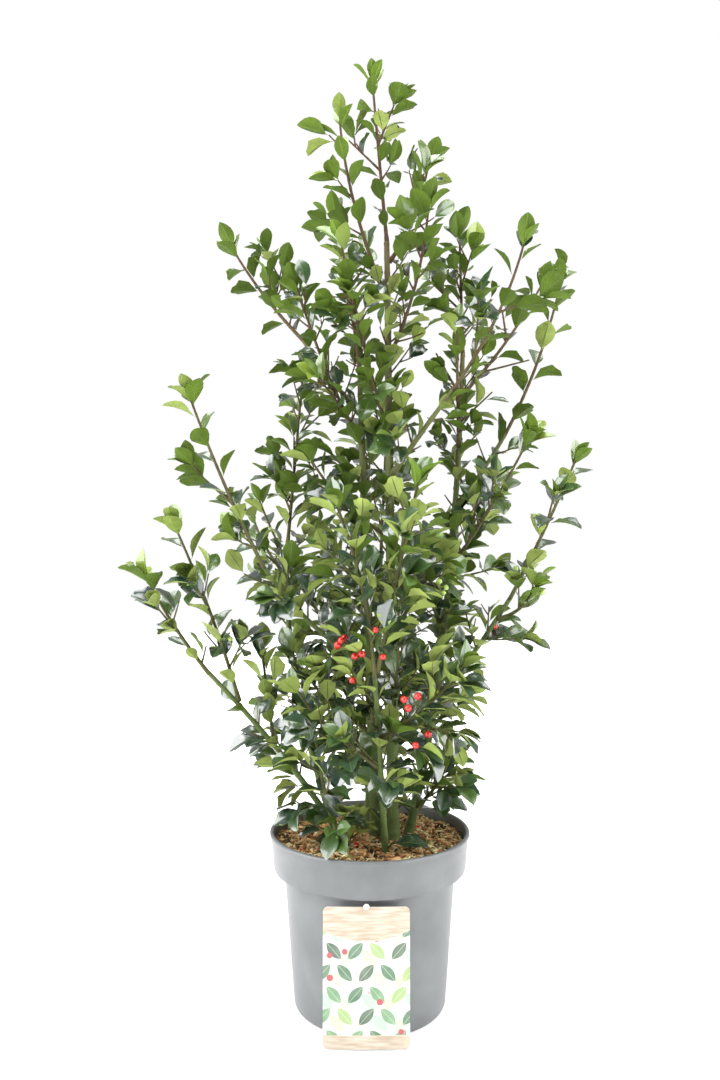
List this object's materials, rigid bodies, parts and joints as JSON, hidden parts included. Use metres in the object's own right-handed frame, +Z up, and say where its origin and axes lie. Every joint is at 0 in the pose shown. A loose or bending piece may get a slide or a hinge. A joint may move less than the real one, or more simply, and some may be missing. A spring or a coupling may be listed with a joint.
{
  "type": "holly tree in a nursery pot",
  "caption": "Young bushy holly with several stems, glossy leaves and red berries, growing in a round grey nursery pot with a hanging care tag.",
  "frame": {"origin": "centre of the pot's flat underside", "axes": "+Z up along the pot's axis and the stems, -Y towards the front, where the care tag hangs"},
  "size_m": [0.725, 0.5589, 1.435],
  "materials": {
    "pot_plastic": "satin mid-grey moulded plastic",
    "growing_medium": "coarse fibre and bark compost",
    "tag_card": "coated printed card",
    "bark": "smooth young bark, olive-green low down and grey-brown higher up",
    "foliage": "glossy leaves on thin twigs with red berries"
  },
  "bodies": {
    "root": {"pot": "pot_plastic", "growing_medium": "growing_medium", "care_tag": "tag_card", "stem_leader": "bark", "stem_centre": "bark", "stem_right": "bark", "stem_left": "bark", "stem_low_left": "bark", "stem_front": "bark", "stem_front_left": "bark", "stem_back": "bark", "bough_upper_left": "bark", "bough_left": "bark", "bough_upper_right": "bark", "bough_right_outer": "bark", "bough_right_low": "bark", "bough_back_left": "bark", "bough_back_right": "bark", "foliage_crown_top": "foliage", "foliage_crown_left": "foliage", "foliage_crown_right": "foliage", "foliage_centre_top": "foliage", "foliage_right_top": "foliage", "foliage_left_top": "foliage", "foliage_low_left_tip": "foliage", "foliage_front_left_shoot": "foliage", "foliage_front_right_shoot": "foliage", "foliage_front_left_low": "foliage", "foliage_front_right_low": "foliage", "foliage_front_foot": "foliage", "foliage_back_top": "foliage", "foliage_upper_left_tip": "foliage", "foliage_left_tip": "foliage", "foliage_upper_right_tip": "foliage", "foliage_right_outer_tip": "foliage", "foliage_right_low_tip": "foliage", "foliage_back_left_tip": "foliage", "foliage_back_right_tip": "foliage", "foliage_low_left_upper": "foliage", "foliage_low_left_inner": "foliage", "foliage_right_high": "foliage", "foliage_right_middle": "foliage", "foliage_right_low_outer": "foliage", "foliage_high_right": "foliage", "foliage_high_left": "foliage", "foliage_upper_left_inner": "foliage", "foliage_right_inner": "foliage", "foliage_leader_1": "foliage", "foliage_leader_2": "foliage", "foliage_leader_3": "foliage", "foliage_centre_1": "foliage", "foliage_centre_2": "foliage", "foliage_centre_3": "foliage", "foliage_right_1": "foliage", "foliage_right_2": "foliage", "foliage_right_3": "foliage", "foliage_left_1": "foliage", "foliage_left_2": "foliage", "foliage_back_1": "foliage", "foliage_back_2": "foliage"}
  },
  "joints": []
}
